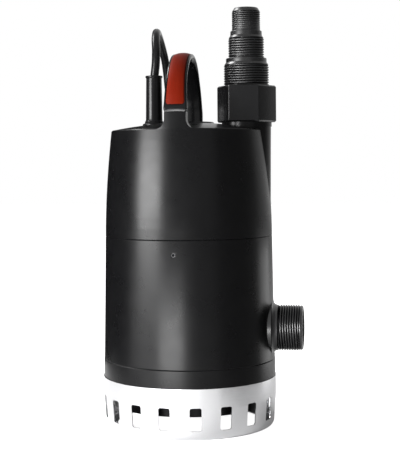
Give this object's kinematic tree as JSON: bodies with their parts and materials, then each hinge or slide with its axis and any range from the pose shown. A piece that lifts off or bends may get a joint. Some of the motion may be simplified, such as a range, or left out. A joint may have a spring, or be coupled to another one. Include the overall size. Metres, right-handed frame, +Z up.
{
  "type": "drainage pump",
  "caption": "Submersible drainage pump with slotted steel strainer, arched handle with red inlay, stepped threaded hose adapter with flap valve, side outlet and coiled mains cord.",
  "frame": {"origin": "on the pump's axis, at the centre of the strainer's flat ring foot on the floor", "axes": "+Z up along the pump's axis, +X towards the side outlet and the riser, -Y towards the handle's front foot"},
  "size_m": [0.2256, 0.3613, 0.388],
  "materials": {
    "housing_black": "satin glass-filled plastic, moulded black",
    "handle_black": "smooth moulded black plastic",
    "inlay_red": "soft-touch moulded red insert",
    "adapter_black": "moulded black plastic with pipe threads",
    "inner_plastic": "dark glass-filled plastic",
    "strainer_steel": "pressed stainless steel sheet, satin",
    "stainless_can": "deep-drawn stainless steel",
    "stainless_screws": "turned stainless steel",
    "bearing_steel": "ground bearing steel",
    "laminated_steel": "stacked electrical sheet",
    "cast_aluminium": "pressure-cast aluminium",
    "copper_wire": "varnished copper wire",
    "light_plastic": "pale moulded plastic",
    "seal_rubber": "moulded nitrile rubber",
    "cord_rubber": "rubber-sheathed cord, smooth",
    "pin_brass": "turned nickel-plated brass",
    "tie_fabric": "woven hook-and-loop strap"
  },
  "bodies": {
    "housing": {"outer_sleeve": "housing_black", "top_cover": "housing_black", "handle": "handle_black", "handle_inlay": "inlay_red", "base_housing": "housing_black", "suction_cover": "inner_plastic", "suction_cover_screws": "stainless_screws", "wear_ring": "stainless_screws", "volute_casing": "inner_plastic", "body_o_rings": "seal_rubber", "motor_can": "stainless_can", "motor_lid": "inner_plastic", "lower_bracket": "cast_aluminium", "bracket_screws": "stainless_screws", "upper_bracket": "cast_aluminium", "shaft_seals": "seal_rubber", "stator_core": "laminated_steel", "stator_windings": "copper_wire", "thermal_switch": "light_plastic", "lower_bearing_outer_ring": "bearing_steel", "upper_bearing_outer_ring": "bearing_steel", "capacitor": "light_plastic", "capacitor_clip": "stainless_screws", "terminal_block": "light_plastic", "internal_leads": "cord_rubber", "vent_insert": "inner_plastic", "cord_gland": "cord_rubber", "outlet_gasket": "seal_rubber", "adapter": "adapter_black", "valve_seat": "inner_plastic", "valve_pin": "stainless_screws", "side_port_plug": "adapter_black", "side_plug_o_ring": "seal_rubber", "cord_lead": "cord_rubber", "cord_coil": "cord_rubber", "cord_tail": "cord_rubber", "mains_plug": "cord_rubber", "plug_pins": "pin_brass", "coil_ties": "tie_fabric"},
    "rotor": {"rotor_shaft": "bearing_steel", "rotor_core": "laminated_steel", "lower_bearing_inner_ring": "bearing_steel", "lower_bearing_balls": "bearing_steel", "upper_bearing_inner_ring": "bearing_steel", "upper_bearing_balls": "bearing_steel", "impeller": "inner_plastic", "impeller_washer": "stainless_screws", "impeller_nut": "stainless_screws"},
    "flap": {"check_flap": "seal_rubber"},
    "strainer": {"strainer": "strainer_steel"}
  },
  "joints": [
    {"name": "rotor_spin", "type": "hinge", "parent": "housing", "child": "rotor", "pos_m": [0, 0, 0.11], "axis": [0, 0, 1], "continuous": true},
    {"name": "flap_hinge", "type": "hinge", "parent": "housing", "child": "flap", "pos_m": [0.0414, 0, 0.3056], "axis": [0, -1, 0], "range_deg": [0, 65]},
    {"name": "strainer_slide", "type": "slide", "parent": "housing", "child": "strainer", "axis": [0, 0, -1], "range_m": [0, 0.045]}
  ]
}
